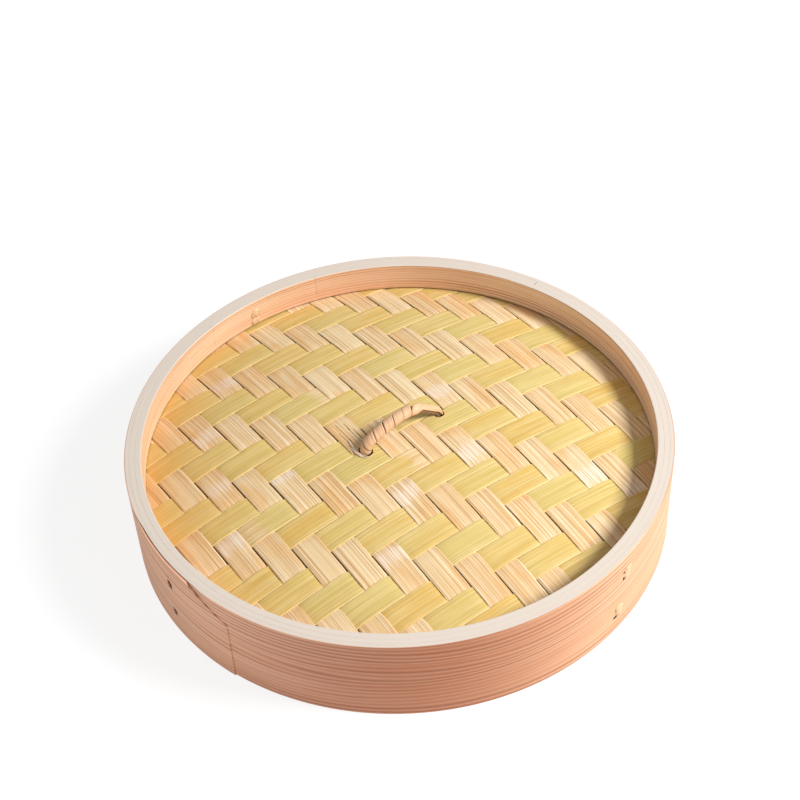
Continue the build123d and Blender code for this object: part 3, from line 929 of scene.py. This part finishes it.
outer_ends = {
    "side_stitch_upper": (rim_outside - 0.05, 1, 2.7, 0.4, 2.4, -0.3),
    "side_stitch_lower": (rim_outside - 0.05, 1, 3.0, -0.2, -1.2, -0.3),
    "lap_stitch_upper": (rim_outside - 2.2, 1, 1.3, 0.2, 0.0, -3.2),
    "lap_stitch_lower": (rim_outside - 2.2, 1, 1.3, 0.2, 0.0, -0.3),
    "splice_stitch_upper": (rim_outside - 0.02, 1, 2.75, 0.3, 0.0, 0.2),
    "splice_stitch_lower": (rim_outside - 0.02, 1, 2.75, -0.3, 0.0, 0.0),
}
for stitch, angle in stitch_angles.items():
    for level, height in stitch_levels.items():
        name = f"{stitch}_{level}"
        half_width = {"lap_stitch": 1.0, "splice_stitch": 2.1}.get(stitch, 2.0)
        inner_end = (lining_inside + 0.02, -1, 3.7, -0.7, 0.2, 0.3)
        points, faces = stitch_lobes((outer_ends[name], inner_end), half_width)
        turn = math.radians(angle)
        placed = [
            (
                out * math.cos(turn) - along * math.sin(turn),
                out * math.sin(turn) + along * math.cos(turn),
                up + height,
            )
            for out, along, up in points
        ]
        make_piece(f"{name}_cane", placed, faces, cane, "lid", name)

# Handle. A round cane bent into a low arch, its legs pushed through the panel and turned in
# under it. It leans a little in its two holes.

hinge_height = 35.05
core_radius = 1.38
core_sides = 20
core_rings = 150
under_run = 13.714
under_start = (0.514, -3.5)
walk = [
    ("run", under_run),
    ("bend", 2.2, 90),
    ("run", 1.5),
    ("bend", 4.6, 60),
    ("bend", 34.5, 30),
    ("bend", 8.0, 37),
    ("run", 9.6),
    ("bend", 2.0, 53),
    ("run", 1.121),
    ("bend", 2.2, 90),
    ("run", under_run),
]


def walk_points(start_x, start_height, heading):
    """Points of the handle's middle line, in small steps, turning clockwise at each bend."""
    x, height = start_x, start_height
    places = [(x, height)]
    turns = [heading]
    marks = [0]
    for kind, size, *turn in walk:
        length = size if kind == "run" else size * math.radians(turn[0])
        steps = max(4, round(length / 0.1))
        for _ in range(steps):
            bend = math.radians(turn[0]) / steps if turn else 0
            heading -= bend / 2
            x += length / steps * math.cos(heading)
            height += length / steps * math.sin(heading)
            heading -= bend / 2
            places.append((x, height))
            turns.append(heading)
        marks.append(len(places) - 1)
    return np.array(places), np.array(turns), marks


line, heading, marks = walk_points(*under_start, math.pi)
reach = np.concatenate([[0], np.cumsum(np.hypot(*np.diff(line, axis=0).T))])
arch_from = reach[marks[3]]
arch_length = reach[marks[8]] - arch_from


def handle_place(distance):
    """Middle of the cane at a distance along it, and the way out of its back."""
    x = np.interp(distance, reach, line[:, 0])
    height = np.interp(distance, reach, line[:, 1])
    turn = np.interp(distance, reach, heading)
    centre = np.array([x, handle_y, hinge_height + height])
    back = np.array([-math.sin(turn), 0, math.cos(turn)])
    return centre, back


def tube(rows):
    """Close a list of rings into a tube with capped ends."""
    size = len(rows[0])
    points = [point for row in rows for point in row]
    faces = []
    for ring in range(len(rows) - 1):
        for side in range(size):
            nxt = (side + 1) % size
            low, high = ring * size, (ring + 1) * size
            faces.append([low + side, low + nxt, high + nxt, high + side])
    faces.append(list(range(size)))
    faces.append(list(range((len(rows) - 1) * size, len(rows) * size)))
    return points, faces


sideways = np.array([0, 1, 0])
core_rows = []
core_along = []
for distance in np.linspace(0, reach[-1], core_rings):
    centre, back = handle_place(distance)
    row = []
    for side in range(core_sides):
        turn = 2 * math.pi * side / core_sides
        radius = core_radius * (1 - 0.02 * (1 + math.sin(3 * turn + distance * 0.3)))
        row.append(centre + radius * (math.cos(turn) * back + math.sin(turn) * sideways))
        core_along.append((distance * mm, side / core_sides * 0.0088, 5.0))
    core_rows.append(row)
points, faces = tube(core_rows)

handle_cane = strip_material(
    "handle_cane",
    ((226, 184, 146), (220, 170, 130), (230, 192, 154), (238, 208, 172)),
    (232, 196, 156),
    (166, 106, 62),
    0.36,
    ((242, 212, 172), (222, 182, 136)),
    0.5,
)
handle_core = make_piece(
    "handle_arch", points, faces, handle_cane, "handle", "handle_core"
)
set_values(handle_core, "lie", "FLOAT_VECTOR", core_along)
set_values(handle_core, "knuckle", "FLOAT", np.zeros(len(points)))
# The core is painted darker all along, as painted shade under the binding
set_values(handle_core, "painted_shade", "FLOAT", np.full(len(points), 0.8))

# Binding of the handle. One flat strip of cane wound five times round the arch from its near
# foot; past the crown it turns along the handle, and its tail runs down the back to the far foot.

wrap_turns = 5.0
wrap_first_pitch = 4.98
wrap_closing = 0.1525
wrap_start = -0.3
wrap_first_middle = 3.65
wrap_end_width = 3.9
wrap_inside = 1.40
wrap_outside = 2.12
wrap_side_swell = 0.26
wrap_swell_from = 1.5
wrap_swell_rise = 3
wrap_edge_ease = 0.14
wrap_seam = 0.06
turn_along_length = 6.0
turn_along_steps = 18
tail_steps = 40
tail_stop_short = 0.2


def wound_distance(turns):
    """Distance along the arch after a number of turns, which close up towards the crown."""
    return wrap_first_middle + wrap_first_pitch * turns - wrap_closing * turns**2


wrap_radius = (wrap_inside + wrap_outside) / 2
last_pitch = wrap_first_pitch - 2 * wrap_closing * wrap_turns
lay = math.atan2(2 * math.pi * wrap_radius, last_pitch)
turn_along_radius = turn_along_length / lay
turn_along_angle = turn_along_radius * (1 - math.cos(lay)) / wrap_radius
gap_turns = (0, 0.5, 1, 1.5, 2, 2.5, 3, 4, 4.5)
gaps = (0.2, 0.2, 0.25, 0.42, 0.3, 0.12, 0.05, 0.04, 0.4)
course = []
for turns in np.arange(-1.1, wrap_turns + 0.001, 0.025):
    pitch = wrap_first_pitch - 2 * wrap_closing * turns
    width = pitch * math.sin(math.atan2(2 * math.pi * wrap_radius, pitch)) - wrap_seam
    gap = np.interp(turns, gap_turns, gaps)
    angle = -2 * math.pi * wrap_turns - turn_along_angle + 2 * math.pi * turns
    course.append((wound_distance(turns), angle, width, gap))
last_width = course[-1][2]
for step in range(1, turn_along_steps + 1):
    left = lay * (1 - step / turn_along_steps)
    distance = wound_distance(wrap_turns) + turn_along_radius * (math.sin(lay) - math.sin(left))
    width = last_width + 0.6 * step / turn_along_steps
    course.append((distance, -turn_along_radius * (1 - math.cos(left)) / wrap_radius, width, 0))
tail_from = course[-1][0]
tail_width = course[-1][2]
for step in range(1, tail_steps + 1):
    share = step / tail_steps
    width = tail_width + (wrap_end_width - tail_width) * share**2
    course.append((tail_from + (arch_length - tail_stop_short - tail_from) * share, 0, width, 0))

course = np.array(course)
unrolled = np.stack([course[:, 0], course[:, 1] * wrap_radius], -1)
run = np.concatenate([[0], np.cumsum(np.hypot(*np.diff(unrolled, axis=0).T))])
ways = np.gradient(unrolled, run, axis=0)
wrap_rows = []
wrap_lie = []
wrap_pale = []
upper_sides = [
    (side, wrap_outside - wrap_edge_ease * max(0, abs(side) - 0.88) / 0.12)
    for side in np.linspace(-1, 1, 17)
]
lower_sides = [(side, wrap_inside) for side in np.linspace(0.99, -0.99, 9)]
for (distance, angle, width, gap), (ahead, around), gone in zip(course, ways, run):
    upper_edge = gap - width / 2
    lower_edge = min(width / 2, (distance - wrap_start) / max(around, 0.2))
    row = []
    for side, radius in upper_sides + lower_sides:
        offset = upper_edge + (lower_edge - upper_edge) * (side + 1) / 2
        centre, back = handle_place(arch_from + distance - offset * around)
        turn = angle + offset * ahead / wrap_radius
        swollen = float(soft_step((distance - wrap_swell_from) / wrap_swell_rise))
        swell = wrap_side_swell * swollen * math.sin(turn) ** 2
        fuller = radius + swell * (radius > wrap_inside)
        row.append(centre + fuller * (math.cos(turn) * back + math.sin(turn) * sideways))
        wrap_lie.append((gone * mm, offset * mm, 11.0))
        wrap_pale.append(0.5 * min(1, max(0, (distance - tail_from) / 6)))
    wrap_rows.append(row)
points, faces = tube(wrap_rows)
binding = make_piece(
    "handle_binding", points, faces, handle_cane, "handle", "handle_wrap"
)
set_values(binding, "lie", "FLOAT_VECTOR", wrap_lie)
set_values(binding, "knuckle", "FLOAT", wrap_pale)

# Setting. A plain white table and backdrop, a soft light from the right, a weak low one from
# beside the camera and an even pale surround; the camera looks down over the near edge.

bpy.ops.mesh.primitive_plane_add(size=8, location=(0, 0, -0.0001))
floor = bpy.context.object
floor.name = "floor"
floor_paint = bpy.data.materials.new("floor_paint")
floor_paint.use_nodes = True
floor_tree = floor_paint.node_tree
floor_tree.nodes.clear()


def seen_directly(tree):
    """1 for what the camera sees, at once or through a mirror or glass, and 0 for plain light."""
    path = add(tree, "LightPath")
    mirrored = sum_of(tree, path["Is Glossy Ray"], path["Is Transmission Ray"], "MAXIMUM")
    return sum_of(tree, path["Is Camera Ray"], mirrored, "MAXIMUM")


seen = seen_directly(floor_tree)
floor_place = add(floor_tree, "TexCoord")["Object"]
from_middle = add(floor_tree, "VectorMath", {0: floor_place}, operation="LENGTH")["Value"]
open_floor = sum_of(floor_tree, fade(floor_tree, from_middle, 0.098, 0.102), seen, "MULTIPLY")
white = mix(floor_tree, open_floor, (0.86, 0.86, 0.86, 1), (0.22, 0.22, 0.22, 1))
matt = add(floor_tree, "BsdfDiffuse", {"Color": white})[0]
far_off = fade(floor_tree, from_middle, 0.2, 0.7)
paper = add(floor_tree, "MapRange", {"Value": far_off, "To Min": 0.83, "To Max": 1.0})[0]
strength = sum_of(floor_tree, open_floor, paper, "MULTIPLY")
glow = add(floor_tree, "Emission", {"Color": (1, 1, 1, 1), "Strength": strength})[0]
both = add(floor_tree, "AddShader", {0: matt, 1: glow})[0]
add(floor_tree, "OutputMaterial", {"Surface": both})
floor.data.materials.append(floor_paint)

world = bpy.data.worlds.new("surround")
bpy.context.scene.world = world
world.use_nodes = True
world_tree = world.node_tree
world_tree.nodes.clear()
surround_light = {"Value": seen_directly(world_tree), "To Min": 0.33, "To Max": 1.0}
level = add(world_tree, "MapRange", surround_light)[0]
sky = add(world_tree, "Background", {"Color": (1, 1, 1, 1), "Strength": level})[0]
add(world_tree, "OutputWorld", {"Surface": sky})

camera_place = Vector((-0.23325, -0.35670, 0.45995))
look = Vector((0.39691, 0.60309, -0.69192))
right = Vector((0.81308, -0.58080, -0.03982))
up = Vector((0.42588, 0.54678, 0.72088))
lens = bpy.data.cameras.new("camera")
lens.lens = 72.18
lens.sensor_width = 36
camera = bpy.data.objects.new("camera", lens)
bpy.context.scene.collection.objects.link(camera)
turned = Matrix((right, up, -look)).transposed().to_4x4()
turned.translation = camera_place
camera.matrix_world = turned
bpy.context.scene.camera = camera


def soft_light(name, power, size, way, distance, height):
    """A square lamp at a distance and a height on one side of the lid, turned towards it."""
    lamp = bpy.data.lights.new(name, "AREA")
    lamp.energy = power
    lamp.size = size
    stand = bpy.data.objects.new(name, lamp)
    bpy.context.scene.collection.objects.link(stand)
    stand.location = Vector((way.x, way.y, 0)).normalized() * distance + Vector((0, 0, height))
    aim = Vector((0, 0, 0.03)) - stand.location
    stand.rotation_euler = aim.to_track_quat("-Z", "Y").to_euler()


to_camera = Vector((-look.x, -look.y, 0))
soft_light("key_light", 19.6, 0.40, right * 0.98 + to_camera * 0.25, 0.95, 0.83)
soft_light("side_light", 2.8, 0.7, to_camera * 0.90 - right * 0.40, 1.0, 0.14)

bpy.context.scene.view_settings.view_transform = "Standard"
